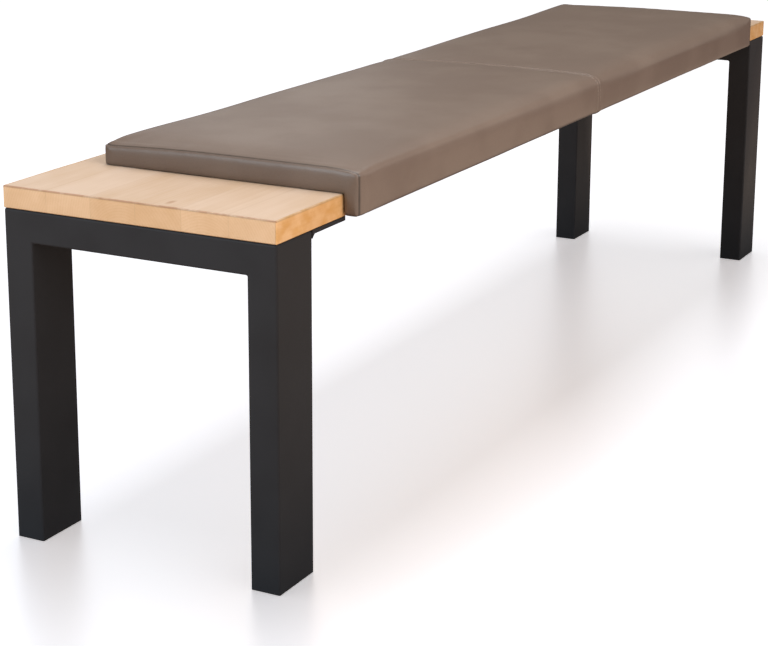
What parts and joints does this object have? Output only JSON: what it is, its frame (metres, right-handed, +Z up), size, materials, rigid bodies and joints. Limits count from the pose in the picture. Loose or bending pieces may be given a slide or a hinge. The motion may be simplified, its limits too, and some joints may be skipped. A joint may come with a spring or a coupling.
{
  "type": "bench cushion with a front lip, on its bench",
  "caption": "Long flat leatherette bench cushion, sewn across its middle, whose short front lip hangs over the edge of a wooden bench top on rectangular tube frames.",
  "frame": {"origin": "on the floor, under the middle of the whole object's box", "axes": "+X along the bench, -Y towards its front, where the cushion's lip hangs, +Z up"},
  "size_m": [1.8, 0.4059, 0.4857],
  "materials": {
    "oak_board": "satin oiled solid wood, glued up from staves",
    "frame_steel": "matt anthracite powder coat",
    "cushion_cover": "taupe leatherette with a fine grain and a satin sheen",
    "seam_thread": "pale sewing thread, a little shiny"
  },
  "bodies": {
    "root": {"bench_top": "oak_board", "leg_left_front": "frame_steel", "leg_left_back": "frame_steel", "leg_right_front": "frame_steel", "leg_right_back": "frame_steel", "beam_left": "frame_steel", "beam_right": "frame_steel", "plate_left": "frame_steel", "plate_right": "frame_steel", "cushion_body": "cushion_cover", "cushion_end_left": "cushion_cover", "cushion_end_right": "cushion_cover"}
  },
  "joints": []
}
